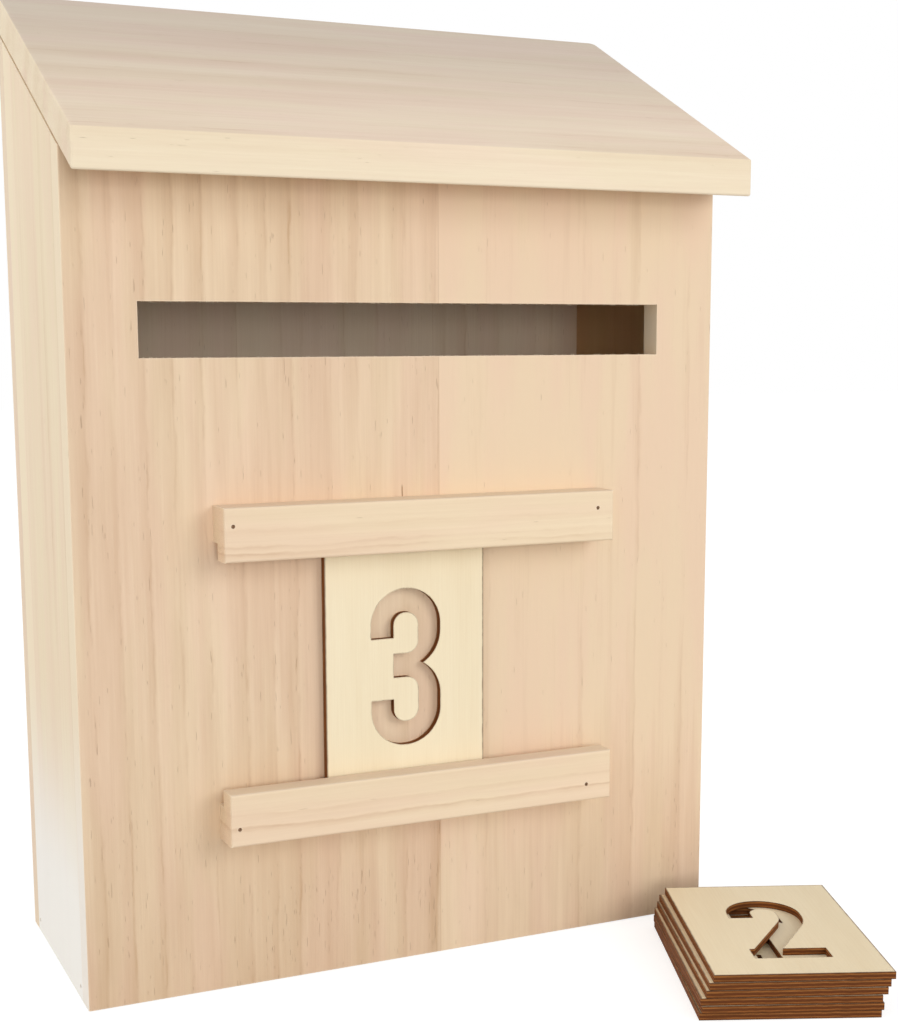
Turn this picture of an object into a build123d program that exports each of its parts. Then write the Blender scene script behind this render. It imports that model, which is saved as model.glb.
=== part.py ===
from build123d import *
from math import cos, radians, sin, tan
import os

os.makedirs("parts", exist_ok=True)

# Wooden letter box with a sloping lid and exchangeable number plates.
# Millimetres. X runs to the right, Y to the back and Z up.
# The origin is the middle of the case's base, on the surface it stands on.

# Case
case_width = 260.0
case_depth = 102.0
front_height = 303.0  # at the front face, up to the slope that carries the lid
lid_slope = 27.5  # degrees, rising to the back
board = 9.5  # thickness of the case boards
case_edge_round = 0.7

# Letter slot
slot_width = 209.0
slot_height = 19.5
slot_drop = 51.1  # from the front's top edge down to the slot

# Lid
lid_board = 12.6
lid_width = 263.0
lid_shift = 1.6  # the lid sits this much to the right of the case's middle
lid_front_overhang = 21.0
lid_gap = 0.3  # between the lid and the sloping edges that it closes on
lid_corner_round = 3.0
lid_edge_round = 0.8

# Number plates
plate_width = 65.0
plate_height = 93.0
plate_thickness = 2.7
plate_foot_gap = 0.3
plate_head_room = 3.1
plate_back_gap = 0.7
plate_front_gap = 1.6
plate_centre_x = -6.3  # where the mounted plate stands along the rails

# Rails that hold the mounted plate
rail_length = 157.2
rail_centre_x = -0.9
rail_height = 19.5
rail_depth = 13.5
rail_lip = 6.3  # how far each lip reaches past its ledge
rail_edge_round = 0.9
ledge_height = 70.9  # of the lower rail's ledge, under the plate's foot

# Digits cut through the plates
digit_width = 28.4
digit_height = 60.0
digit_stroke = 9.1
digit_drop = 1.5  # their middle stands this much below the plate's middle
crown_flat = 0.6  # straight stretch at the top of a bowl
arm_end_top = 11.4  # where the open arms of a 2 and a 3 end, from the digit's middle
arm_end_bottom = -12.2
stencil_bridge = 3.5

# Pile of spare plates: its top plate's middle, from the case's right front corner
pile_inset = 13.0
pile_reach = 68.6
pile_turn = -22.0

# Brads
brad_radius = 0.55
brad_head_radius = 0.7
brad_head_height = 1.0
brad_point = 1.6
brad_sink = 0.8  # from the wood's surface down to the head
brad_clearance = 0.05
rail_brad_bite = 6.5  # how far the rails' brads reach into the front panel
rail_brad_left_inset = 3.3
upper_rail_brad_right_inset = 7.0
lower_rail_brad_right_inset = 11.0
bottom_brad_bite = 10.5
bottom_brad_inset = 13.0

# Hinges
hinge_inset = 45.0  # from the case's end to the hinge's middle
hinge_length = 32.0
leaf_height = 11.5  # from the pin's axis
leaf_thickness = 0.9
leaf_corner_round = 1.5
leaf_cutback = 0.35  # clearance of a leaf round the other leaf's knuckle
barrel_radius = 2.0
barrel_standoff = 0.4  # from the wood to the barrel
middle_knuckle = 12.0
knuckle_gap = 0.2
pin_radius = 1.0
pin_clearance = 0.04
pin_head_radius = 1.5
pin_head_height = 0.6

# Hinge screws
screw_radius = 1.0
screw_head_radius = 1.9
screw_bite = 7.6  # into the wood
screw_point = 2.0
screw_clearance = 0.05
screw_slot_width = 0.5
screw_slot_depth = 0.45
screw_spacing = 20.0
screw_offset = 7.2  # from the pin's axis

# Wall holes in the back panel
wall_hole_radius = 2.5
wall_hole_inset = 50.0  # from the panel's end
wall_hole_drop = 28.0  # below the panel's top edge

# Worked out from the dimensions above
half_width = case_width / 2
front_y = -case_depth / 2
back_y = case_depth / 2
slope = tan(radians(lid_slope))
upright_share = 1 / cos(radians(lid_slope))  # upright measure of a length square to the slope


def slope_height(y):
    """Height of the case's sloping top edge at a depth y."""
    return front_height + (y - front_y) * slope


def upright_board(x, y_start, y_end):
    """Section of an upright board, in a YZ plane at x, cut to the slope at its top."""
    with BuildSketch(Plane.YZ.offset(x), mode=Mode.PRIVATE) as section:
        with BuildLine():
            Polyline(
                (y_start, 0),
                (y_end, 0),
                (y_end, slope_height(y_end)),
                (y_start, slope_height(y_start)),
                close=True,
            )
        make_face()
    return section.sketch


def brad(length):
    """Brad driven down from the XY plane, with its head under the wood's surface."""
    with BuildPart(mode=Mode.PRIVATE) as nail:
        with BuildSketch(Plane.XZ):
            with BuildLine():
                Polyline(
                    (0, -brad_sink),
                    (brad_head_radius, -brad_sink),
                    (brad_head_radius, -brad_sink - brad_head_height),
                    (brad_radius, -brad_sink - brad_head_height),
                    (brad_radius, -brad_sink - length + brad_point),
                    (0, -brad_sink - length),
                    close=True,
                )
            make_face()
        revolve(axis=Axis.Z)
    return nail.part


def brad_holes(planes, length):
    """Holes that such brads fill, driven in from each plane."""
    with Locations(*planes):
        CounterBoreHole(
            radius=brad_radius + brad_clearance,
            counter_bore_radius=brad_head_radius + brad_clearance,
            counter_bore_depth=brad_sink + brad_head_height + brad_clearance,
            depth=brad_sink + length + brad_clearance,
        )


# Rails: the lower ledge is under the plate's foot, the upper one over its head.
channel_height = plate_foot_gap + plate_height + plate_head_room
channel_y = front_y - (plate_back_gap + plate_thickness + plate_front_gap)
rail_outer_y = front_y - rail_depth
upper_ledge = ledge_height + channel_height
lower_rail_top = ledge_height + rail_lip
lower_rail_bottom = lower_rail_top - rail_height
upper_rail_bottom = upper_ledge - rail_lip
upper_rail_top = upper_rail_bottom + rail_height
rail_left_x = rail_centre_x - rail_length / 2
rail_right_x = rail_centre_x + rail_length / 2

rail_brad_length = rail_depth - brad_sink + rail_brad_bite
upper_brad_z = (upper_ledge + upper_rail_top) / 2
lower_brad_z = (lower_rail_bottom + ledge_height) / 2
rail_brad_planes = [
    Plane(origin=(x, rail_outer_y, z), x_dir=(1, 0, 0), z_dir=(0, -1, 0))
    for x, z in (
        (rail_left_x + rail_brad_left_inset, upper_brad_z),
        (rail_right_x - upper_rail_brad_right_inset, upper_brad_z),
        (rail_left_x + rail_brad_left_inset, lower_brad_z),
        (rail_right_x - lower_rail_brad_right_inset, lower_brad_z),
    )
]

# Brads through the sides into the bottom, at its mid-thickness
bottom_brad_length = board - brad_sink + bottom_brad_bite
bottom_brad_planes = [
    Plane(origin=(side * half_width, y, board / 2), z_dir=(side, 0, 0))
    for side in (-1, 1)
    for y in (front_y + bottom_brad_inset, back_y - bottom_brad_inset)
]

# Hinges: the pins lie just behind the seam between the case and the lid.
hinge_y = back_y + barrel_standoff + barrel_radius
hinge_z = slope_height(back_y) + lid_gap * upright_share / 2
hinge_left_x = hinge_inset - half_width
hinge_right_x = half_width - hinge_inset
screw_length = leaf_thickness + screw_bite


def screw_planes(centre, direction):
    """Planes of one leaf's screw heads: direction is -1 on the case and 1 on the lid."""
    z = hinge_z + direction * screw_offset
    return [
        Plane(origin=(centre + side * screw_spacing / 2, back_y + leaf_thickness, z), z_dir=(0, 1, 0))
        for side in (-1, 1)
    ]


def screw_pilots(direction):
    """Holes under the leaves of both hinges, in the wood they are screwed to."""
    with Locations(*screw_planes(hinge_left_x, direction), *screw_planes(hinge_right_x, direction)):
        Hole(radius=screw_radius + screw_clearance, depth=screw_length + screw_clearance)


# Front panel: covers the front edges of the sides and of the bottom.
with BuildPart() as front_panel:
    extrude(upright_board(-half_width, front_y, front_y + board), amount=case_width, dir=(1, 0, 0))
    fillet(front_panel.faces().sort_by(Axis.Y)[0].edges().filter_by(Axis.Z), radius=case_edge_round)
    with BuildSketch(Plane.XZ.offset(-front_y)):
        with Locations((0, front_height - slot_drop - slot_height / 2)):
            Rectangle(slot_width, slot_height)
    extrude(amount=-board, mode=Mode.SUBTRACT)
    brad_holes(rail_brad_planes, rail_brad_length)
front_panel.part.label = "front_panel"
export_step(front_panel.part, "parts/front_panel.step")

# Back panel: covers the rear edges of the sides, and hangs on a wall by its two holes.
with BuildPart() as back_panel:
    extrude(upright_board(-half_width, back_y - board, back_y), amount=case_width, dir=(1, 0, 0))
    fillet(back_panel.faces().sort_by(Axis.Y)[-1].edges().filter_by(Axis.Z), radius=case_edge_round)
    wall_hole_z = slope_height(back_y) - wall_hole_drop
    with Locations(Plane(origin=(0, back_y, wall_hole_z), x_dir=(1, 0, 0), z_dir=(0, 1, 0))):
        with GridLocations(case_width - 2 * wall_hole_inset, 0, 2, 1):
            Hole(radius=wall_hole_radius, depth=board)
    screw_pilots(-1)
back_panel.part.label = "back_panel"
export_step(back_panel.part, "parts/back_panel.step")

# Sides: stand between the front and back panels.
with BuildPart() as left_side:
    extrude(upright_board(-half_width, front_y + board, back_y - board), amount=board, dir=(1, 0, 0))
    brad_holes(bottom_brad_planes, bottom_brad_length)
left_side.part.label = "left_side"
export_step(left_side.part, "parts/left_side.step")

with BuildPart() as right_side:
    extrude(upright_board(half_width - board, front_y + board, back_y - board), amount=board, dir=(1, 0, 0))
    brad_holes(bottom_brad_planes, bottom_brad_length)
right_side.part.label = "right_side"
export_step(right_side.part, "parts/right_side.step")

# Bottom: fills the space between the four walls.
with BuildPart() as bottom_panel:
    with BuildSketch(Plane.XY):
        Rectangle(case_width - 2 * board, case_depth - 2 * board)
    extrude(amount=board)
    brad_holes(bottom_brad_planes, bottom_brad_length)
bottom_panel.part.label = "bottom_panel"
export_step(bottom_panel.part, "parts/bottom_panel.step")

bottom_brad = brad(bottom_brad_length)
with BuildPart() as bottom_nails:
    with Locations(*bottom_brad_planes):
        add(bottom_brad)
bottom_nails.part.label = "bottom_nails"
export_step(bottom_nails.part, "parts/bottom_nails.step")

# Lid: its front and back edges are plumb, and its back edge is flush with the case.
lid_front_y = front_y - lid_front_overhang
lid_rise = lid_gap * upright_share
lid_top_rise = lid_rise + lid_board * upright_share
with BuildPart() as lid:
    with BuildSketch(Plane.YZ.offset(lid_shift - lid_width / 2)):
        with BuildLine():
            Polyline(
                (lid_front_y, slope_height(lid_front_y) + lid_rise),
                (back_y, slope_height(back_y) + lid_rise),
                (back_y, slope_height(back_y) + lid_top_rise),
                (lid_front_y, slope_height(lid_front_y) + lid_top_rise),
                close=True,
            )
        make_face()
    extrude(amount=lid_width)
    fillet(lid.edges().filter_by(Axis.Z).group_by(Axis.Y)[-1], radius=lid_corner_round)
    fillet(lid.edges().filter_by(Axis.Z).group_by(Axis.Y)[0], radius=lid_edge_round)
    square_to_lid = Axis((0, 0, 0), (0, -slope, 1))
    fillet(lid.faces().sort_by(square_to_lid)[-1].edges(), radius=lid_edge_round)
    fillet(lid.faces().sort_by(square_to_lid)[0].edges(), radius=lid_edge_round)
    screw_pilots(1)
lid.part.label = "lid"
export_step(lid.part, "parts/lid.step")

# Lower rail: its lip stands up in front of the plate's foot.
with BuildPart() as lower_rail:
    with BuildSketch(Plane.YZ.offset(rail_left_x)):
        with BuildLine():
            Polyline(
                (front_y, lower_rail_bottom),
                (rail_outer_y, lower_rail_bottom),
                (rail_outer_y, lower_rail_top),
                (channel_y, lower_rail_top),
                (channel_y, ledge_height),
                (front_y, ledge_height),
                close=True,
            )
        make_face()
    extrude(amount=rail_length)
    fillet(lower_rail.faces().sort_by(Axis.Y)[0].edges(), radius=rail_edge_round)
    brad_holes(rail_brad_planes, rail_brad_length)
lower_rail.part.label = "lower_rail"
export_step(lower_rail.part, "parts/lower_rail.step")

# Upper rail: its lip hangs down in front of the plate's head.
with BuildPart() as upper_rail:
    with BuildSketch(Plane.YZ.offset(rail_left_x)):
        with BuildLine():
            Polyline(
                (front_y, upper_rail_top),
                (rail_outer_y, upper_rail_top),
                (rail_outer_y, upper_rail_bottom),
                (channel_y, upper_rail_bottom),
                (channel_y, upper_ledge),
                (front_y, upper_ledge),
                close=True,
            )
        make_face()
    extrude(amount=rail_length)
    fillet(upper_rail.faces().sort_by(Axis.Y)[0].edges(), radius=rail_edge_round)
    brad_holes(rail_brad_planes, rail_brad_length)
upper_rail.part.label = "upper_rail"
export_step(upper_rail.part, "parts/upper_rail.step")

rail_brad = brad(rail_brad_length)
with BuildPart() as rail_nails:
    with Locations(*rail_brad_planes):
        add(rail_brad)
rail_nails.part.label = "rail_nails"
export_step(rail_nails.part, "parts/rail_nails.step")

# Digits: each is drawn about its own middle, in condensed upright strokes.
digit_left = -digit_width / 2
digit_right = digit_width / 2
digit_top = digit_height / 2
digit_base = -digit_height / 2
counter_left = digit_left + digit_stroke


def bowl(low, high, inset=0, mode=Mode.ADD):
    """Round-ended shape between two heights, as wide as the digit less its inset on both sides."""
    width = digit_width - 2 * inset
    with Locations((0, (low + high) / 2)):
        RectangleRounded(width, high - low, min(width, high - low) / 2 - crown_flat / 2, mode=mode)


def bar(x_start, y_start, x_end, y_end, mode=Mode.ADD):
    """Rectangle between two opposite corners."""
    with Locations(((x_start + x_end) / 2, (y_start + y_end) / 2)):
        Rectangle(abs(x_end - x_start), abs(y_end - y_start), mode=mode)


# 3: two bowls that overlap at the waist, open on the left, with a middle bar
waist_height = 1.1
waist_overlap = 1.7
middle_bar_height = 0.7
middle_bar_top = middle_bar_height + digit_stroke / 2
middle_bar_bottom = middle_bar_height - digit_stroke / 2
with BuildSketch() as digit_three:
    bowl(waist_height - waist_overlap, digit_top)
    bowl(digit_base, waist_height + waist_overlap)
    bowl(middle_bar_top, digit_top - digit_stroke, digit_stroke, Mode.SUBTRACT)
    bowl(digit_base + digit_stroke, middle_bar_bottom, digit_stroke, Mode.SUBTRACT)
    bar(digit_left, arm_end_bottom, counter_left, arm_end_top, Mode.SUBTRACT)
    bar(counter_left, middle_bar_top, 0, arm_end_top, Mode.SUBTRACT)
    bar(counter_left, arm_end_bottom, 0, middle_bar_bottom, Mode.SUBTRACT)

# 2: the bowl's middle line runs on into a slanting stem, over a straight foot
bowl_middle = digit_width / 2 - digit_stroke / 2
bowl_centre = digit_top - digit_width / 2
stem_shoulder = 7.8
stem_bend = 20.0
stem_corner = Vector(bowl_middle, bowl_centre - stem_shoulder)
stem_foot = Vector(-bowl_middle, digit_base + digit_stroke / 2)
stem_end = stem_foot + (stem_foot - stem_corner).normalized() * digit_stroke
with BuildSketch() as digit_two:
    with BuildLine():
        Line((-bowl_middle, arm_end_top), (-bowl_middle, bowl_centre))
        CenterArc((0, bowl_centre), bowl_middle, 180, -180)
        FilletPolyline((bowl_middle, bowl_centre), stem_corner, stem_end, radius=stem_bend)
    trace(line_width=digit_stroke)
    bar(digit_left, digit_base, digit_right, digit_base + digit_stroke)
    Rectangle(digit_width, digit_height, mode=Mode.INTERSECT)

# 1: a stem with a slanting flag
one_stem_left = 0.5
flag_reach = 9.5
flag_fall = 8.5
with BuildSketch() as digit_one:
    bar(one_stem_left, digit_base, one_stem_left + digit_stroke, digit_top)
    Polygon(
        (one_stem_left, digit_top),
        (one_stem_left - flag_reach, digit_top - flag_fall),
        (one_stem_left - flag_reach, digit_top - flag_fall - digit_stroke),
        (one_stem_left, digit_top - digit_stroke),
        align=None,
    )

# 5: a bar and a stem over one bowl
five_inset = 1.5
five_bowl_top = 8.5
with BuildSketch() as digit_five:
    bowl(digit_base, five_bowl_top)
    bowl(digit_base + digit_stroke, five_bowl_top - digit_stroke, digit_stroke, Mode.SUBTRACT)
    bar(digit_left, arm_end_bottom, counter_left, 0, Mode.SUBTRACT)
    bar(digit_left + five_inset, 0, counter_left + five_inset, digit_top)
    bar(digit_left + five_inset, digit_top - digit_stroke, digit_right - five_inset, digit_top)

# 7: a bar and a slanting stem
seven_foot_left = -8.3
seven_stem_left = 4.2
with BuildSketch() as digit_seven:
    Polygon(
        (digit_left, digit_top),
        (digit_right, digit_top),
        (digit_right, digit_top - digit_stroke),
        (seven_foot_left + digit_stroke, digit_base),
        (seven_foot_left, digit_base),
        (seven_stem_left, digit_top - digit_stroke),
        (digit_left, digit_top - digit_stroke),
        align=None,
    )

# 4: a slanting stroke, a stem and a bar; a bridge holds the island that they enclose
four_stem_left = 2.5
four_bar_top = -7.0
four_slant_left = 1.5
four_slant_width = 8.0
four_bridge_right = four_stem_left - stencil_bridge
with BuildSketch() as digit_four:
    Polygon(
        (four_slant_left, digit_top),
        (four_slant_left + four_slant_width, digit_top),
        (digit_left + four_slant_width, four_bar_top),
        (digit_left, four_bar_top),
        align=None,
    )
    bar(four_stem_left, digit_base, four_stem_left + digit_stroke, digit_top)
    bar(digit_left, four_bar_top - digit_stroke, digit_right, four_bar_top)
    bar(four_bridge_right - stencil_bridge, digit_base, four_bridge_right, four_bar_top, Mode.SUBTRACT)

# 0: a ring, with bridges at its top and its foot
with BuildSketch() as digit_zero:
    bowl(digit_base, digit_top)
    bowl(digit_base + digit_stroke, digit_top - digit_stroke, digit_stroke, Mode.SUBTRACT)
    Rectangle(stencil_bridge, digit_height, mode=Mode.SUBTRACT)

# Mounted plate: its foot stands over the lower ledge, and it slides along the rails.
mounted_plane = Plane(
    origin=(plate_centre_x, front_y - plate_back_gap, ledge_height + plate_foot_gap + plate_height / 2),
    x_dir=(1, 0, 0),
    z_dir=(0, -1, 0),
)
with BuildPart() as number_plate_three:
    with BuildSketch(mounted_plane):
        Rectangle(plate_width, plate_height)
        with Locations((0, -digit_drop)):
            add(digit_three.sketch, mode=Mode.SUBTRACT)
    extrude(amount=plate_thickness)
number_plate_three.part.label = "number_plate_three"
export_step(number_plate_three.part, "parts/number_plate_three.step")

# Spare plates, from the floor up: digit, shifts to the right and to the back, turn in
# degrees, and the way its face lies, 1 for up and -1 for down.
pile = [
    ("zero", digit_zero, -4.9, 0.6, -0.5, 1),
    ("four", digit_four, -4.8, 0.2, 0.3, 1),
    ("seven", digit_seven, -4.7, 0.6, -0.3, 1),
    ("five", digit_five, -3.1, 0.4, 0.4, 1),
    ("one", digit_one, -2.0, 0.4, 0.5, -1),
    ("two", digit_two, 0.0, 0.0, 0.0, 1),
]
for layer, (digit_name, digit, to_right, to_back, turn, face) in enumerate(pile):
    angle = radians(pile_turn + turn)
    pile_plane = Plane(
        origin=(
            half_width - pile_inset + to_right,
            front_y - pile_reach + to_back,
            (layer + 0.5) * plate_thickness,
        ),
        x_dir=(face * cos(angle), face * sin(angle), 0),
        z_dir=(0, 0, face),
    )
    with BuildPart() as spare_plate:
        with BuildSketch(pile_plane):
            Rectangle(plate_width, plate_height)
            with Locations((0, -digit_drop)):
                add(digit.sketch, mode=Mode.SUBTRACT)
        extrude(amount=plate_thickness / 2, both=True)
    spare_plate.part.label = "spare_plate_" + digit_name
    export_step(spare_plate.part, "parts/spare_plate_" + digit_name + ".step")

# Hinge knuckles along the pin, from the hinge's middle: the case has the outer two.
middle_reach = middle_knuckle / 2
middle_span = [(-middle_reach, middle_reach)]
outer_spans = [
    (-hinge_length / 2, -middle_reach - knuckle_gap),
    (middle_reach + knuckle_gap, hinge_length / 2),
]


def hinge_leaf(centre, direction, knuckles, clear_spans):
    """Leaf on the back of the case (direction -1) or of the lid (direction 1)."""
    with BuildPart(mode=Mode.PRIVATE) as leaf:
        with BuildSketch(Plane.XZ.offset(-back_y)):
            with Locations((centre, hinge_z + direction * leaf_height / 2)):
                Rectangle(hinge_length, leaf_height)
        extrude(amount=-leaf_thickness)
        fillet(leaf.edges().filter_by(Axis.Y).sort_by(Axis.Z)[::direction][-2:], radius=leaf_corner_round)
        with BuildSketch(Plane.XZ.offset(-back_y)):
            for start, end in clear_spans:
                with Locations((centre + (start + end) / 2, hinge_z)):
                    Rectangle(end - start + 2 * knuckle_gap, 2 * (barrel_radius + leaf_cutback))
        extrude(amount=-leaf_thickness, mode=Mode.SUBTRACT)
        for start, end in knuckles:
            with BuildSketch(Plane.YZ.offset(centre + start)):
                with Locations((hinge_y, hinge_z)):
                    Circle(barrel_radius)
            extrude(amount=end - start)
        with BuildSketch(Plane.YZ.offset(centre - hinge_length / 2)):
            with Locations((hinge_y, hinge_z)):
                Circle(pin_radius + pin_clearance)
        extrude(amount=hinge_length, mode=Mode.SUBTRACT)
        with Locations(*screw_planes(centre, direction)):
            CounterSinkHole(
                radius=screw_radius + screw_clearance,
                counter_sink_radius=screw_head_radius + screw_clearance,
                depth=leaf_thickness,
                counter_sink_angle=90,
            )
    return leaf.part


def hinge_pin(centre):
    """Pin through both leaves, with a flat head outside each outer knuckle."""
    with BuildPart(mode=Mode.PRIVATE) as pin:
        with BuildSketch(Plane.YZ.offset(centre)):
            with Locations((hinge_y, hinge_z)):
                Circle(pin_radius)
        extrude(amount=hinge_length / 2, both=True)
        for side in (-1, 1):
            with BuildSketch(Plane.YZ.offset(centre + side * hinge_length / 2)):
                with Locations((hinge_y, hinge_z)):
                    Circle(pin_head_radius)
            extrude(amount=side * pin_head_height)
    return pin.part


for hinge_name, hinge_x in (("left_hinge", hinge_left_x), ("right_hinge", hinge_right_x)):
    pieces = {
        "case_leaf": hinge_leaf(hinge_x, -1, outer_spans, middle_span),
        "lid_leaf": hinge_leaf(hinge_x, 1, middle_span, outer_spans),
        "pin": hinge_pin(hinge_x),
    }
    for piece_name, piece in pieces.items():
        piece.label = hinge_name + "_" + piece_name
        export_step(piece, "parts/" + piece.label + ".step")

# Hinge screws: countersunk, slotted, and flush with the leaves.
with BuildPart() as screw:
    with BuildSketch(Plane.XZ):
        with BuildLine():
            Polyline(
                (0, 0),
                (screw_head_radius, 0),
                (screw_radius, screw_radius - screw_head_radius),
                (screw_radius, screw_point - screw_length),
                (0, -screw_length),
                close=True,
            )
        make_face()
    revolve(axis=Axis.Z)
    with BuildSketch(Plane.XY):
        Rectangle(2 * screw_head_radius, screw_slot_width)
    extrude(amount=-screw_slot_depth, mode=Mode.SUBTRACT)

with BuildPart() as case_hinge_screws:
    with Locations(*screw_planes(hinge_left_x, -1), *screw_planes(hinge_right_x, -1)):
        add(screw.part)
case_hinge_screws.part.label = "case_hinge_screws"
export_step(case_hinge_screws.part, "parts/case_hinge_screws.step")

with BuildPart() as lid_hinge_screws:
    with Locations(*screw_planes(hinge_left_x, 1), *screw_planes(hinge_right_x, 1)):
        add(screw.part)
lid_hinge_screws.part.label = "lid_hinge_screws"
export_step(lid_hinge_screws.part, "parts/lid_hinge_screws.step")
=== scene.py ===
from math import cos, pi, radians, sin

import bpy
from mathutils import Matrix, Vector


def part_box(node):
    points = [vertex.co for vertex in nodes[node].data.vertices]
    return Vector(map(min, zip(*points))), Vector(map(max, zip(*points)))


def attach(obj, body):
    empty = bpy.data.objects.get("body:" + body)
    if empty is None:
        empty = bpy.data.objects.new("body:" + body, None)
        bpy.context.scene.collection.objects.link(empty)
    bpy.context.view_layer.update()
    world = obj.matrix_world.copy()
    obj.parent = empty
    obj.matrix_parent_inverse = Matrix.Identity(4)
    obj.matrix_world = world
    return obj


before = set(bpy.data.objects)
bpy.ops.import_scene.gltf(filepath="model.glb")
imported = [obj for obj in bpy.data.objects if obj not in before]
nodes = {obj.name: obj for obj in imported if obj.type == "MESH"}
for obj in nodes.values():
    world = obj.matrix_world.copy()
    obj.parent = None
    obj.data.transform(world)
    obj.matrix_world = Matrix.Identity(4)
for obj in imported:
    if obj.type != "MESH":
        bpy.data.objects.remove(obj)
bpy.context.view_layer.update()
mm = 0.001
print("frame loaded:", len(nodes), "pieces")


# A wire is an output socket that can be added, multiplied and so on: each step adds its Math node.
class Wire:
    def __init__(self, maker, socket):
        self.maker = maker
        self.socket = socket

    def math(self, operation, *others):
        return self.maker.node("ShaderNodeMath", {"operation": operation}, dict(enumerate((self, *others))))

    def fromNumber(self, operation, number):
        return self.maker.node("ShaderNodeMath", {"operation": operation}, {0: number, 1: self})

    def __add__(self, other):
        return self.math("ADD", other)

    def __radd__(self, other):
        return self.fromNumber("ADD", other)

    def __sub__(self, other):
        return self.math("SUBTRACT", other)

    def __rsub__(self, other):
        return self.fromNumber("SUBTRACT", other)

    def __mul__(self, other):
        return self.math("MULTIPLY", other)

    def __rmul__(self, other):
        return self.fromNumber("MULTIPLY", other)

    def __truediv__(self, other):
        return self.math("DIVIDE", other)

    def __rtruediv__(self, other):
        return self.fromNumber("DIVIDE", other)

    def __abs__(self):
        return self.math("ABSOLUTE")


# A maker adds nodes to one tree.
class Maker:
    def __init__(self, tree):
        self.tree = tree

    # settings come before values, because some of them change the sockets
    def node(self, kind, settings=None, values=None, out=0):
        made = self.tree.nodes.new(kind)
        for key, setting in (settings or {}).items():
            if key == "stops":
                for extra in range(len(setting) - len(made.color_ramp.elements)):
                    made.color_ramp.elements.new(1.0)
                for element, (position, colour) in zip(made.color_ramp.elements, setting):
                    element.position, element.color = position, colour
            else:
                setattr(made, key, setting)
        for key, value in (values or {}).items():
            if isinstance(value, Wire):
                self.tree.links.new(value.socket, made.inputs[key])
            else:
                made.inputs[key].default_value = value
        return Wire(self, made.outputs[out]) if len(made.outputs) else made

    def split(self, vector):
        parts = self.node("ShaderNodeSeparateXYZ", {}, {0: vector}).socket.node
        return [Wire(self, output) for output in parts.outputs]

    def join(self, x, y, z):
        return self.node("ShaderNodeCombineXYZ", {}, {0: x, 1: y, 2: z})

    # noise at a point, with so many waves in a metre along each of its axes
    def noise(self, point, waves, detail, roughness=0.5):
        x, y, z = (axis * count for axis, count in zip(point, waves))
        values = {"Vector": self.join(x, y, z), "Scale": 1.0, "Detail": detail, "Roughness": roughness}
        return self.node("ShaderNodeTexNoise", {}, values)

    # 0 below low and 1 above high, or the other way round where low is the larger
    def ease(self, value, low, high):
        settings = {"interpolation_type": "SMOOTHSTEP"}
        if low > high:
            return self.node("ShaderNodeMapRange", settings, {0: value, 1: high, 2: low, 3: 1.0, 4: 0.0})
        return self.node("ShaderNodeMapRange", settings, {0: value, 1: low, 2: high, 3: 0.0, 4: 1.0})

    def mix(self, factor, first, second, blend="MIX"):
        settings = {"data_type": "RGBA", "blend_type": blend, "clamp_factor": True}
        return self.node("ShaderNodeMix", settings, {0: factor, 6: first, 7: second}, out=2)

    # which way the surface faces on each axis, from -1 to 1
    def facing(self):
        return dict(zip("xyz", self.split(self.node("ShaderNodeTexCoord", out="Normal"))))

    # 1 at an edge, 0 away from one
    def nearEdge(self, reach, least=0.004, full=0.12):
        rounded = self.node("ShaderNodeBevel", {"samples": 4}, {"Radius": reach})
        flat = self.node("ShaderNodeNewGeometry", out="Normal")
        likeness = self.node("ShaderNodeVectorMath", {"operation": "DOT_PRODUCT"},
                             {0: rounded, 1: flat}, out="Value")
        return self.ease(1 - likeness, least, full)


# how far a surface faces one way before it starts to count as such a face, and when it fully does
faceLimits = {"side": (0.6, 0.9), "left": (-0.6, -0.9), "inside": (-0.5, -0.8), "top": (0.5, 0.8),
              "plate": (0.5, 0.9)}


# a colour as it looks on screen, 0 to 255, in the linear values that nodes take
def tint(red, green, blue):
    def linear(level):
        return level / 255 / 12.92 if level < 11 else ((level / 255 + 0.055) / 1.055) ** 2.4
    return (linear(red), linear(green), linear(blue), 1.0)


def newMaterial(name):
    material = bpy.data.materials.new(name)
    material.use_nodes = True
    material.node_tree.nodes.clear()
    return material, Maker(material.node_tree)


def closeMaterial(maker, colour, roughness, height, depth, fixed):
    normal = maker.node("ShaderNodeBump", {}, {"Strength": 1.0, "Distance": depth, "Height": height})
    shader = maker.node("ShaderNodeBsdfPrincipled", {}, {
        "Base Color": colour, "Roughness": roughness, "Normal": normal, **fixed})
    maker.node("ShaderNodeOutputMaterial", {}, {"Surface": shader})


def dress(material, *names):
    for name in names:
        nodes[name].data.materials.clear()
        nodes[name].data.materials.append(material)


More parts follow.
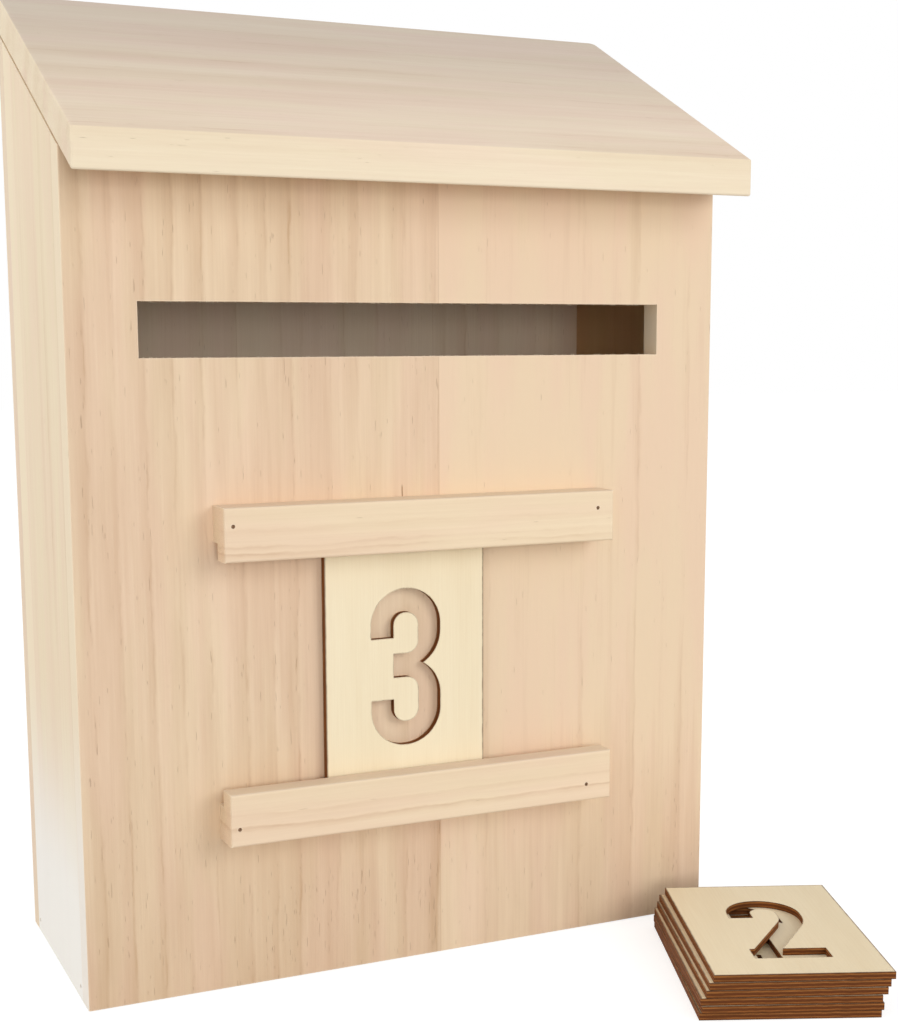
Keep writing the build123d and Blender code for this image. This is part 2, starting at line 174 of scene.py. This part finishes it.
# Planed boards: pale growth bands that darken towards one side and end in a wavy line.
# Each Depth says how strongly a feature shows, and each pair of Limits where it starts and where it is full.
boardDefaults = {
    "order": "xyz",  # the axes across the grain, through the board and along the grain
    "turn": (0, 0, 0), "shift": (0, 0, 0),
    "light": tint(240, 215, 183), "dark": tint(199, 163, 127), "shade": 0.16,
    "blotchDepth": 0.34, "streakDepth": 0.16, "fibreDepth": 0.24, "threadShare": 0.9,
    "blush": tint(255, 251, 254), "blushLimits": (0.4, 0.62),
    # growth lines, each a place across the grain and a strength
    "lines": [], "bandReach": 9 * mm, "bandDepth": 0.26, "lineFade": 1.4 * mm,
    "veinReach": 0.7 * mm, "veinDepth": 0.24,
    "wander": 5.2 * mm, "quiver": 1.4 * mm, "feathering": 2.6 * mm,
    "patchLimits": (0.25, 0.62), "breakLimits": (0.42, 0.66),
    # glued joints, each a place across the grain and how much darker the wood beyond is
    "joints": {}, "jointBlur": 0.1 * mm, "seamReach": 0.35 * mm, "seamDepth": 0.35,
    # splits, each a place across the grain, a lower end and an upper end
    "splits": [], "splitReach": 0.4 * mm, "splitCore": 0.1 * mm, "splitShake": 1 * mm,
    "splitFoot": 0.5 * mm, "splitTip": 2 * mm, "splitDepth": 0.8,
    # pores: the higher the level, the fewer there are
    "pore": tint(150, 114, 82), "poreLevel": 0.745, "poreBlur": 0.06, "poreGather": 0.12, "poreDepth": 0.26,
    # painted shade: the wood darkens below footShadeTop by paintedFootShade, and by footShadeLean more as
    # far to the right as leanReach
    "footShadeTop": 110 * mm, "paintedFootShade": 0.0, "footShadeLean": 0.0, "leanReach": 110 * mm,
    # painted light: below footTop the whole board pales to paintedFootLight, or its left edge only where it
    # has an edgeTint
    "paintedFootLight": None, "footTop": 125 * mm, "footFull": 35 * mm, "footWander": 60 * mm, "footLightDepth": 0.85,
    # painted shade: paintedInnerShade darkens a board's inner face
    "edgeTint": None, "edgeDepth": 0.8, "paintedInnerShade": None,
    # painted shade: a top face is darkened by paintedTopShade as far back as topFront, and by
    # paintedBackShade from topBack on
    "paintedTopShade": None, "paintedBackShade": None, "topFront": 80 * mm, "topBack": 215 * mm,
    "endGrain": tint(220, 192, 156), "dotLimits": (0.42, 0.62), "endDepth": 0.15,
    # paler edges: partly wear, partly a painted highlight along every edge
    "brightEdges": tint(248, 233, 208), "brightEdgeReach": 0.9 * mm, "brightEdgeDepth": 0.45,
    "roughness": 0.68, "fibreRoughness": 0.18, "poreRoughness": 0.15, "wornPolish": 0.1,
    "relief": 0.12 * mm, "fibreRise": 0.5, "threadRise": 0.6, "poreDrop": 0.9, "gloss": 0.15,
}
# the wood's noises: waves in a metre across, through and along a board, then detail and roughness
grainNoises = {
    "slow": ((7, 7, 9), 1.0), "quick": ((30, 30, 75), 2.0), "feather": ((260, 260, 60), 3.0, 0.65),
    "patches": ((16, 16, 7), 1.0), "breaks": ((40, 40, 45), 3.0), "blotches": ((34, 34, 3.5), 3.0),
    "streaks": ((150, 150, 15), 2.0), "fibres": ((1500, 1500, 34), 3.0, 0.6),
    "threads": ((460, 460, 7), 2.0), "blush": ((62, 62, 9), 2.0),
    "dashes": ((2400, 2400, 150), 1.0), "dots": ((2200, 2200, 2200), 1.0),
}


# A grain tells where a point lies across it, through the board and along it, and which way the board faces.
class Grain:
    def __init__(self, maker, board):
        self.maker = maker
        place = maker.node("ShaderNodeTexCoord", out="Object")
        turned = maker.node("ShaderNodeMapping", {}, {
            "Vector": place, "Location": board["shift"], "Rotation": board["turn"]})
        axes = dict(zip("xyz", maker.split(turned)))
        facing = maker.facing()
        self.across, self.through, self.along = (axes[letter] for letter in board["order"])
        self.sideways, self.outward, self.endways = (facing[letter] for letter in board["order"])
        self.upward = facing["z"]
        self.slow = self.sway("slow")
        self.feather = self.sway("feather")

    def noise(self, name):
        return self.maker.noise((self.across, self.through, self.along), *grainNoises[name])

    # the same noise, but to either side of 0
    def sway(self, name):
        return self.noise(name) - 0.5


# how dark the wood is, before its fibres
def growthBands(grain, board):
    maker, across = grain.maker, grain.across
    # lines waver slowly, then faster, and are feathered where the grain tears
    wandered = (across + grain.slow * board["wander"] + grain.sway("quick") * board["quiver"]
                + grain.feather * board["feathering"])
    patches = maker.ease(grain.noise("patches"), *board["patchLimits"])
    unbroken = maker.ease(grain.noise("breaks"), *board["breakLimits"])

    bands = grain.sway("blotches") * board["blotchDepth"] + grain.sway("streaks") * board["streakDepth"]
    for line, strength in board["lines"]:
        rise = maker.ease(wandered, line - board["bandReach"], line)
        fall = maker.ease(wandered, line + board["lineFade"], line)
        bands = bands + rise * rise * fall * patches * strength * board["bandDepth"]
        vein = maker.ease(abs(wandered - line), board["veinReach"], 0.0) * unbroken
        bands = bands + vein * strength * board["veinDepth"]
    for joint, toneBeyond in board["joints"].items():
        beyond = maker.ease(across, joint - board["jointBlur"], joint + board["jointBlur"])
        bands = bands + beyond * toneBeyond

    # painted shade: darker towards the floor, and more so towards the right
    lean = maker.ease(across, 0.0, board["leanReach"]) * board["footShadeLean"]
    return bands + maker.ease(grain.along, board["footShadeTop"], 0.0) * (lean + board["paintedFootShade"])


def addSeamsAndSplits(grain, board, colour):
    maker = grain.maker
    for joint in board["joints"]:
        seam = maker.ease(abs(grain.across - joint), board["seamReach"], 0.0)
        colour = maker.mix(seam * board["seamDepth"], colour, board["dark"])
    for place, low, high in board["splits"]:
        aboveFoot = maker.ease(grain.along, low - board["splitFoot"], low)
        belowTip = maker.ease(grain.along, high, high - board["splitTip"])
        offset = abs(grain.across - place + grain.feather * board["splitShake"])
        gap = maker.ease(offset, board["splitReach"], board["splitCore"])
        colour = maker.mix(gap * aboveFoot * belowTip * board["splitDepth"], colour, board["pore"])
    return colour


# painted light at the foot, the side edges' tint, and painted shade on the inner face and the top
def addFaceTints(grain, board, colour):
    maker = grain.maker
    # painted light: the foot pales towards white, where light from the floor falls on it
    footLight = maker.ease(grain.along + grain.slow * board["footWander"], board["footTop"], board["footFull"])
    if board["edgeTint"]:
        leftFootLight = footLight * maker.ease(grain.sideways, *faceLimits["left"])
        edgeColour = maker.mix(leftFootLight * board["footLightDepth"], board["edgeTint"], board["paintedFootLight"])
        edges = maker.ease(abs(grain.sideways), *faceLimits["side"])
        colour = maker.mix(edges * board["edgeDepth"], colour, edgeColour)
    elif board["paintedFootLight"]:
        colour = maker.mix(footLight * board["footLightDepth"], colour, board["paintedFootLight"])
    if board["paintedInnerShade"]:
        # painted shade on the inner face, for the shade inside the box
        inner = maker.ease(grain.outward, *faceLimits["inside"])
        colour = maker.mix(inner, colour, board["paintedInnerShade"], "MULTIPLY")
    if board["paintedTopShade"]:
        # painted shade: top faces greyer, changing to paintedBackShade towards the back
        top = maker.ease(grain.upward, *faceLimits["top"])
        backness = maker.ease(grain.across, board["topFront"], board["topBack"])
        topShade = maker.mix(backness, board["paintedTopShade"], board["paintedBackShade"])
        colour = maker.mix(top, colour, topShade, "MULTIPLY")
    return colour


def boardMaterial(name, changes):
    board = {**boardDefaults, **changes}
    material, maker = newMaterial(name)
    grain = Grain(maker, board)
    bands = growthBands(grain, board)
    fibres = grain.sway("fibres")
    threads = grain.sway("threads")
    fine = fibres * board["fibreDepth"] + threads * board["fibreDepth"] * board["threadShare"]
    colour = maker.mix(bands + fine + board["shade"], board["light"], board["dark"])
    pinkish = maker.ease(grain.noise("blush"), *board["blushLimits"])
    colour = maker.mix(pinkish, colour, board["blush"], "MULTIPLY")

    # pores: short dark dashes, more of them where the bands are dark
    dashes = grain.noise("dashes") + bands * board["poreGather"]
    pores = maker.ease(dashes, board["poreLevel"], board["poreLevel"] + board["poreBlur"])
    colour = maker.mix(pores * board["poreDepth"], colour, board["pore"])
    colour = addSeamsAndSplits(grain, board, colour)
    colour = addFaceTints(grain, board, colour)

    # sawn ends: darker, dotted with open pores
    ends = maker.ease(abs(grain.endways), *faceLimits["side"])
    dots = grain.noise("dots")
    sawn = maker.mix(maker.ease(dots, *board["dotLimits"]), board["pore"], board["endGrain"])
    colour = maker.mix(ends * board["endDepth"], colour, sawn)

    # paler edges: partly wear, partly a painted highlight
    brightEdges = maker.nearEdge(board["brightEdgeReach"])
    colour = maker.mix(brightEdges * board["brightEdgeDepth"], colour, board["brightEdges"])
    rougher = fibres * board["fibreRoughness"] + pores * board["poreRoughness"]
    roughness = rougher + board["roughness"] - brightEdges * board["wornPolish"]
    height = fibres * board["fibreRise"] + threads * board["threadRise"] - pores * board["poreDrop"]
    closeMaterial(maker, colour, roughness, height - ends * dots, board["relief"],
                  {"Specular IOR Level": board["gloss"]})
    return material


# regular lines for the boards that the picture doesn't show, a little uneven in place and strength
def evenLines(start, spacing, count, unevenness=0.22, fading=0.3):
    return [(start + (turn + unevenness * sin(2.4 * turn)) * spacing, 1 - fading + fading * sin(1.7 * turn))
            for turn in range(count)]


frontBoard = {
    "lines": [(place * mm, strength) for place, strength in (
        (-123.6, .9), (-113.2, .8), (-102.2, 1), (-92, .8), (-81.5, 1), (-68.5, .9), (-58, .7),
        (-48.8, 1), (-34, .5), (-23.5, .6), (-5, .8), (8.5, .8), (29.5, .5), (47, .25),
        (71.8, .65), (96.6, .75), (119.4, .5))],
    "joints": {9.3 * mm: -0.22}, "splits": [(-6 * mm, 180 * mm, 185.5 * mm)],
    # painted shade towards the floor, deeper towards the right
    "fibreDepth": 0.3, "streakDepth": 0.48, "paintedFootShade": 0.22, "footShadeLean": 0.14,
    # painted light pales the foot of the left end
    "edgeTint": tint(249, 233, 204), "paintedFootLight": tint(254, 252, 247),
}
# the side boards' tints are paler than the front's: partly their own wood, partly painted light for the
# light falling on the left side; the right side shares them
leftBoard = {
    "order": "yxz", "shift": (0.31, 0, 0), "light": tint(248, 231, 201), "dark": tint(222, 196, 158),
    "lines": evenLines(-40 * mm, 19 * mm, 4), "joints": {27 * mm: -0.25}, "bandDepth": 0.22,
    # painted light pales the foot of the left side
    "paintedFootLight": tint(254, 252, 247),
}
rightBoard = {
    "order": "yxz", "shift": (0.31, 0.02, 0.4), "light": tint(248, 231, 201), "dark": tint(222, 196, 158),
    # painted shade darkens the inner face
    "lines": evenLines(-40 * mm, 17 * mm, 5), "bandDepth": 0.22, "paintedInnerShade": tint(232, 208, 176),
}
backBoard = {
    "shift": (0.002, 0.5, 0.2), "light": tint(245, 226, 200), "dark": tint(210, 178, 142),
    # painted light: the strip between the joints is a shade paler than its neighbours, where light through
    # the slot falls on the back wall
    "lines": evenLines(-112 * mm, 15 * mm, 17), "joints": {-38 * mm: -0.05, 51 * mm: 0.05},
    "bandDepth": 0.2,
}
bottomBoard = {
    "order": "yzx", "shift": (0.7, 0.003, 0), "lines": evenLines(-44 * mm, 14 * mm, 7),
}
lidBoard = {
    "order": "yzx", "turn": (radians(-27.5), 0, 0), "shift": (0.2, 0, 0),
    "light": tint(250, 235, 207), "dark": tint(216, 186, 150),
    "lines": evenLines(60 * mm, 19 * mm, 8), "bandReach": 15 * mm, "bandDepth": 0.2,
    "lineFade": 6 * mm, "wander": 8 * mm, "poreLevel": 0.78, "endDepth": 0.05,
    # painted shade: the lid's top is greyer, and darker towards the back
    "paintedTopShade": tint(250, 248, 253), "paintedBackShade": tint(224, 224, 233),
}
railBoard = {
    "order": "zyx", "shift": (0.4, 0.2, 0), "light": tint(250, 229, 197), "dark": tint(206, 169, 129),
    "lines": [(64 * mm, .8), (69 * mm, .3), (163.6 * mm, .8), (166 * mm, .5), (172 * mm, .25)],
    "bandReach": 3 * mm, "bandDepth": 0.34, "lineFade": 0.9 * mm, "wander": 7 * mm,
    "streakDepth": 0.08, "fibreDepth": 0.17, "poreLevel": 0.79,
    # painted shade: the rails' tops are greyer than their fronts, which also dims the warm light they throw
    # onto the front
    "paintedTopShade": tint(243, 246, 254), "paintedBackShade": tint(243, 246, 254),
}

dress(boardMaterial("front wood", frontBoard), "front_panel")
dress(boardMaterial("left side wood", leftBoard), "left_side")
dress(boardMaterial("right side wood", rightBoard), "right_side")
dress(boardMaterial("back wood", backBoard), "back_panel")
dress(boardMaterial("bottom wood", bottomBoard), "bottom_panel")
dress(boardMaterial("lid wood", lidBoard), "lid")
dress(boardMaterial("rail wood", railBoard), "lower_rail", "upper_rail")
print("boards dressed")


# Plywood cut by a hot beam: pale faces, and edges burnt brown with the plies showing.
plywood = {
    "thickness": 2.7 * mm, "halfWidth": 32.5 * mm, "halfHeight": 46.5 * mm,
    # noises: waves in a metre across, along and through a plate, then detail and roughness
    "fibres": ((1500, 30, 1500), 3.0, 0.6), "clouds": ((60, 9, 60), 2.0),
    "unevenness": ((220, 220, 120), 3.0), "strokes": ((130, 130, 900), 4.0),
    "light": tint(253, 239, 207), "dark": tint(222, 196, 154), "shade": 0.18,
    "fibreDepth": 0.35, "cloudDepth": 0.4,
    # the plies' colours, from one face of a plate to the other
    "plies": [(0.0, tint(34, 16, 6)), (0.10, tint(114, 64, 26)), (0.28, tint(156, 96, 46)),
              (0.38, tint(90, 46, 18)), (0.52, tint(106, 56, 24)), (0.64, tint(94, 50, 20)),
              (0.74, tint(176, 114, 58)), (0.90, tint(132, 78, 36)), (1.0, tint(34, 16, 6))],
    "plyWander": 0.2, "strokeLimits": (0.35, 0.7), "strokeDepth": 0.6,
    "scorch": tint(98, 56, 24), "scorchReach": 0.8 * mm, "scorchLimits": (-0.4, 0.3), "scorchDepth": 0.85,
    "rimReach": 0.8 * mm, "rimWander": 0.5 * mm,
    "roughness": 0.72, "facePolish": 0.14, "fibreRoughness": 0.15,
    "relief": 0.1 * mm, "fibreRise": 0.5, "gloss": 0.15,
}
# how plates lie: the axis through them, where the first one starts on it, and the turn back to upright
mountedPlate = {"axis": "y", "start": -54.4 * mm, "turn": (radians(90), 0, 0)}
sparePlate = {"axis": "z", "start": 0.0, "turn": (0, 0, radians(22))}


def plateMaterial(name, lying):
    material, maker = newMaterial(name.replace("_", " ") + " plywood")
    low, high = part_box(name)
    middle = [(first + second) / 2 for first, second in zip(low, high)]
    place = maker.node("ShaderNodeTexCoord", out="Object")
    depth = dict(zip("xyz", maker.split(place)))[lying["axis"]]
    centred = maker.node("ShaderNodeVectorMath", {"operation": "SUBTRACT"}, {0: place, 1: middle})
    turned = maker.node("ShaderNodeMapping", {}, {"Vector": centred, "Rotation": lying["turn"]})
    across, along, through = maker.split(turned)
    point = (across, along, through)
    face = maker.ease(abs(maker.facing()[lying["axis"]]), *faceLimits["plate"])

    fibres = maker.noise(point, *plywood["fibres"]) - 0.5
    clouds = maker.noise(point, *plywood["clouds"]) - 0.5
    shade = fibres * plywood["fibreDepth"] + clouds * plywood["cloudDepth"] + plywood["shade"]
    pale = maker.mix(shade, plywood["light"], plywood["dark"])

    # burnt edges: plies one after another, and darker strokes of the beam
    uneven = maker.noise(point, *plywood["unevenness"]) - 0.5
    layer = ((depth - lying["start"]) / plywood["thickness"]).math("FRACT") + uneven * plywood["plyWander"]
    plies = maker.node("ShaderNodeValToRGB", {"stops": plywood["plies"]}, {"Fac": layer})
    strokes = maker.noise(point, *plywood["strokes"])
    struck = maker.ease(strokes, *plywood["strokeLimits"]) * plywood["strokeDepth"]
    burnt = maker.mix(struck, plies, plywood["scorch"])

    # scorched rims: in places along each cut, and all round the plate's outline
    outside = (abs(across) - plywood["halfWidth"]).math("MAXIMUM", abs(along) - plywood["halfHeight"])
    rim = maker.ease(outside + uneven * plywood["rimWander"], -plywood["rimReach"], 0.0)
    cut = maker.nearEdge(plywood["scorchReach"]) * maker.ease(uneven, *plywood["scorchLimits"])
    pale = maker.mix(cut.math("MAXIMUM", rim) * plywood["scorchDepth"], pale, plywood["scorch"])
    colour = maker.mix(face, burnt, pale)
    roughness = plywood["roughness"] - face * plywood["facePolish"] + fibres * plywood["fibreRoughness"]
    height = fibres * plywood["fibreRise"] + strokes * (1 - face)
    closeMaterial(maker, colour, roughness, height, plywood["relief"],
                  {"Specular IOR Level": plywood["gloss"]})
    return material


dress(plateMaterial("number_plate_three", mountedPlate), "number_plate_three")
for name in nodes:
    if name.startswith("spare_plate"):
        dress(plateMaterial(name, sparePlate), name)
print("plates dressed")


# Metal: brushed along X, tarnished in patches and rubbed bright at its edges
metalDefaults = {
    "metallic": 1.0, "relief": 0.03 * mm,
    "brushing": ((60, 3000, 3000), 2.0), "brushShade": 0.3, "brushRoughness": 0.2,
    "stains": ((160, 160, 160), 4.0), "stainLimits": (0.45, 0.75), "stainDepth": 0.5,
    "stainRoughness": 0.15,
    "brightEdgeReach": 0.25 * mm, "brightEdgeDepth": 0.5, "wornPolish": 0.1,
}
brass = {"base": tint(214, 180, 112), "tarnish": tint(158, 122, 66), "roughness": 0.34}
steel = {"base": tint(196, 192, 184), "tarnish": tint(128, 122, 112), "roughness": 0.32}
dullSteel = {"base": tint(150, 118, 88), "tarnish": tint(98, 72, 50), "roughness": 0.6, "metallic": 0.2}


def metalMaterial(name, changes):
    metal = {**metalDefaults, **changes}
    material, maker = newMaterial(name)
    point = maker.split(maker.node("ShaderNodeTexCoord", out="Object"))
    brushed = maker.noise(point, *metal["brushing"]) - 0.5
    stains = maker.ease(maker.noise(point, *metal["stains"]), *metal["stainLimits"])
    brightEdges = maker.nearEdge(metal["brightEdgeReach"])
    colour = maker.mix(brushed + metal["brushShade"], metal["base"], metal["tarnish"])
    colour = maker.mix(stains * metal["stainDepth"], colour, metal["tarnish"])
    colour = maker.mix(brightEdges * metal["brightEdgeDepth"], colour, metal["base"])
    rougher = brushed * metal["brushRoughness"] + stains * metal["stainRoughness"]
    roughness = rougher + metal["roughness"] - brightEdges * metal["wornPolish"]
    closeMaterial(maker, colour, roughness, brushed, metal["relief"], {"Metallic": metal["metallic"]})
    return material


dress(metalMaterial("hinge brass", brass), *(name for name in nodes if name.endswith("_leaf")))
dress(metalMaterial("hinge steel", steel),
      "left_hinge_pin", "right_hinge_pin", "case_hinge_screws", "lid_hinge_screws")
dress(metalMaterial("nail steel", dullSteel), "rail_nails", "bottom_nails")
print("metal dressed")


# Torn fibres: slivers of wood that the saw left along the slot's upper and lower edges
slot = {"left": -104.5 * mm, "right": 104.5 * mm, "low": 232.4 * mm, "high": 251.9 * mm,
        "front": -51 * mm, "inset": 0.3 * mm}
torn = {"Spacing": 0.8 * mm, "Share": 0.5, "Shortest": 0.15 * mm, "Longest": 0.7 * mm,
        "Thickness": 0.16 * mm, "Lean": radians(26), "Middle": (slot["low"] + slot["high"]) / 2, "Seed": 7}
tornBoard = {"light": tint(252, 238, 214), "dark": tint(232, 206, 170)}


def makeFibreTree():
    tree = bpy.data.node_groups.new("torn fibres", "GeometryNodeTree")
    tree.interface.new_socket("Edges", in_out="INPUT", socket_type="NodeSocketGeometry")
    for name in torn:
        kind = "NodeSocketInt" if name == "Seed" else "NodeSocketFloat"
        tree.interface.new_socket(name, in_out="INPUT", socket_type=kind)
    tree.interface.new_socket("Wood", in_out="INPUT", socket_type="NodeSocketMaterial")
    tree.interface.new_socket("Fibres", in_out="OUTPUT", socket_type="NodeSocketGeometry")
    maker = Maker(tree)
    given = {output.name: Wire(maker, output) for output in tree.nodes.new("NodeGroupInput").outputs}

    edges = maker.node("GeometryNodeMeshToCurve", {}, {"Mesh": given["Edges"]})
    points = maker.node("GeometryNodeCurveToPoints", {"mode": "LENGTH"},
                        {"Curve": edges, "Length": given["Spacing"]})
    kept = maker.node("FunctionNodeRandomValue", {"data_type": "BOOLEAN"},
                      {"Probability": given["Share"], "Seed": given["Seed"]}, out=3)
    length = maker.node("FunctionNodeRandomValue", {"data_type": "FLOAT"},
                        {2: given["Shortest"], 3: given["Longest"], "Seed": given["Seed"] + 1}, out=1)
    lean = maker.node("FunctionNodeRandomValue", {"data_type": "FLOAT"},
                      {2: given["Lean"] * -1, 3: given["Lean"], "Seed": given["Seed"] + 2}, out=1)
    # each sliver points into the slot, and leans more along the edge than out of the wall
    height = maker.split(maker.node("GeometryNodeInputPosition"))[2]
    inward = maker.join(0.0, 0.0, given["Middle"] - height)
    upright = maker.node("FunctionNodeAlignRotationToVector", {"axis": "Z"}, {"Vector": inward})
    tilt = maker.node("FunctionNodeEulerToRotation", {}, {0: maker.join(lean * 0.4, lean, 0.0)})
    turned = maker.node("FunctionNodeRotateRotation", {"rotation_space": "LOCAL"},
                        {"Rotation": upright, "Rotate By": tilt})
    sliver = maker.node("GeometryNodeMeshCone", {}, {
        "Vertices": 5, "Radius Top": 0.0, "Radius Bottom": 1.0, "Depth": 1.0})
    scattered = maker.node("GeometryNodeInstanceOnPoints", {}, {
        "Points": points, "Selection": kept, "Instance": sliver, "Rotation": turned,
        "Scale": maker.join(given["Thickness"], given["Thickness"], length)})
    real = maker.node("GeometryNodeRealizeInstances", {}, {0: scattered})
    wooden = maker.node("GeometryNodeSetMaterial", {}, {"Geometry": real, "Material": given["Wood"]})
    maker.node("NodeGroupOutput", {}, {0: wooden})
    return tree


def makeTornFibres(material):
    mesh = bpy.data.meshes.new("slot_fibres")
    corners = [(x, slot["front"] + slot["inset"], z) for z in (slot["low"], slot["high"])
               for x in (slot["left"], slot["right"])]
    mesh.from_pydata(corners, [(0, 1), (2, 3)], [])
    fibres = bpy.data.objects.new("slot_fibres", mesh)
    bpy.context.scene.collection.objects.link(fibres)
    modifier = fibres.modifiers.new("torn fibres", "NODES")
    modifier.node_group = makeFibreTree()
    for item in modifier.node_group.interface.items_tree:
        if item.in_out == "INPUT" and item.name in torn:
            modifier[item.identifier] = torn[item.name]
        elif item.name == "Wood":
            modifier[item.identifier] = material
    graph = bpy.context.evaluated_depsgraph_get()
    grown = bpy.data.meshes.new_from_object(fibres.evaluated_get(graph), depsgraph=graph)
    fibres.modifiers.clear()
    fibres.data = grown
    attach(fibres, "case")


makeTornFibres(boardMaterial("torn fibre wood", tornBoard))
print("slot's fibres grown")


# Stage: a pale floor that shows the background's white and keeps the shadow, and soft light all round
stage = {"floorSize": 12.0, "floorDrop": 0.2 * mm, "floorTint": tint(196, 196, 196), "floorGlow": 0.70,
         "specks": ((900, 900, 1), 2.0), "speckTint": tint(180, 180, 180), "speckDepth": 0.06,
         "worldLight": 0.57}
lamps = {
    "front light": {"place": (-0.4, -2.5, 0.24), "side": 1.0, "level": 0.32},
    "high light": {"place": (1.4, -2.2, 1.25), "side": 1.4, "level": 0.27},
    "left light": {"place": (-2.6, 0.3, 0.7), "side": 1.4, "level": 0.35},
}
lampTarget = (0, 0, 0.17)


# 1 where the camera sees a surface, by itself or in or through another
def seenRays(maker):
    path = maker.node("ShaderNodeLightPath").socket.node
    seen = [Wire(maker, path.outputs[name])
            for name in ("Is Camera Ray", "Is Glossy Ray", "Is Transmission Ray")]
    return seen[0].math("MAXIMUM", seen[1]).math("MAXIMUM", seen[2])


def makeFloor():
    half = stage["floorSize"] / 2
    outline = ((-half, -half), (half, -half), (half, half), (-half, half))
    mesh = bpy.data.meshes.new("floor")
    mesh.from_pydata([(x, y, -stage["floorDrop"]) for x, y in outline], [], [(0, 1, 2, 3)])
    floor = bpy.data.objects.new("floor", mesh)
    bpy.context.scene.collection.objects.link(floor)
    material, maker = newMaterial("floor paper")
    point = maker.split(maker.node("ShaderNodeTexCoord", out="Object"))
    specks = maker.noise(point, *stage["specks"])
    paper = maker.mix(specks * stage["speckDepth"], stage["floorTint"], stage["speckTint"])
    matte = maker.node("ShaderNodeBsdfDiffuse", {}, {"Color": paper})
    glow = maker.node("ShaderNodeEmission", {}, {"Strength": seenRays(maker) * stage["floorGlow"]})
    both = maker.node("ShaderNodeAddShader", {}, {0: matte, 1: glow})
    maker.node("ShaderNodeOutputMaterial", {}, {"Surface": both})
    mesh.materials.append(material)


def makeWorld():
    world = bpy.data.worlds.new("studio")
    world.use_nodes = True
    world.node_tree.nodes.clear()
    maker = Maker(world.node_tree)
    level = stage["worldLight"]
    strength = seenRays(maker) * (1.0 - level) + level
    air = maker.node("ShaderNodeBackground", {}, {"Color": (1, 1, 1, 1), "Strength": strength})
    maker.node("ShaderNodeOutputWorld", {}, {"Surface": air})
    bpy.context.scene.world = world


# a square soft lamp that points at the box, with the light that it adds to a facing wall as its level
def softLamp(name, place, side, level):
    lamp = bpy.data.lights.new(name, "AREA")
    lamp.shape = "SQUARE"
    lamp.size = side
    reach = Vector(lampTarget) - Vector(place)
    lamp.energy = level * pi * pi * reach.length_squared
    holder = bpy.data.objects.new(name, lamp)
    holder.location = place
    holder.rotation_euler = reach.to_track_quat("-Z", "Y").to_euler()
    bpy.context.scene.collection.objects.link(holder)


makeFloor()
makeWorld()
for name, lamp in lamps.items():
    softLamp(name, **lamp)
print("stage set")


# Camera: where the photograph was taken from. Its focal length and middle are in pixels of the picture.
view = {"place": (-243.2, -600.8, 235.6), "yaw": 24.149, "pitch": -8.415, "roll": -0.297,
        "focal": 1603.7, "middle": (425.2, 584.7), "picture": (898, 1024), "sensor": 36.0,
        "nearest": 0.01, "farthest": 50}


def makeCamera():
    width, height = view["picture"]
    camera = bpy.data.cameras.new("camera")
    camera.sensor_width = view["sensor"]
    camera.lens = view["focal"] * view["sensor"] / height
    camera.shift_x = (width / 2 - view["middle"][0]) / height
    camera.shift_y = (view["middle"][1] - height / 2) / height
    camera.clip_start = view["nearest"]
    camera.clip_end = view["farthest"]
    yaw, pitch, roll = (radians(view[name]) for name in ("yaw", "pitch", "roll"))
    ahead = Vector((sin(yaw) * cos(pitch), cos(yaw) * cos(pitch), sin(pitch)))
    level = Vector((cos(yaw), -sin(yaw), 0))
    upright = level.cross(ahead)
    right = cos(roll) * level + sin(roll) * upright
    up = cos(roll) * upright - sin(roll) * level
    turn = Matrix((right, up, -ahead)).transposed().to_4x4()
    holder = bpy.data.objects.new("camera", camera)
    holder.matrix_world = Matrix.Translation(Vector(view["place"]) * mm) @ turn
    bpy.context.scene.collection.objects.link(holder)
    bpy.context.scene.camera = holder


makeCamera()
bpy.context.scene.view_settings.view_transform = "Standard"
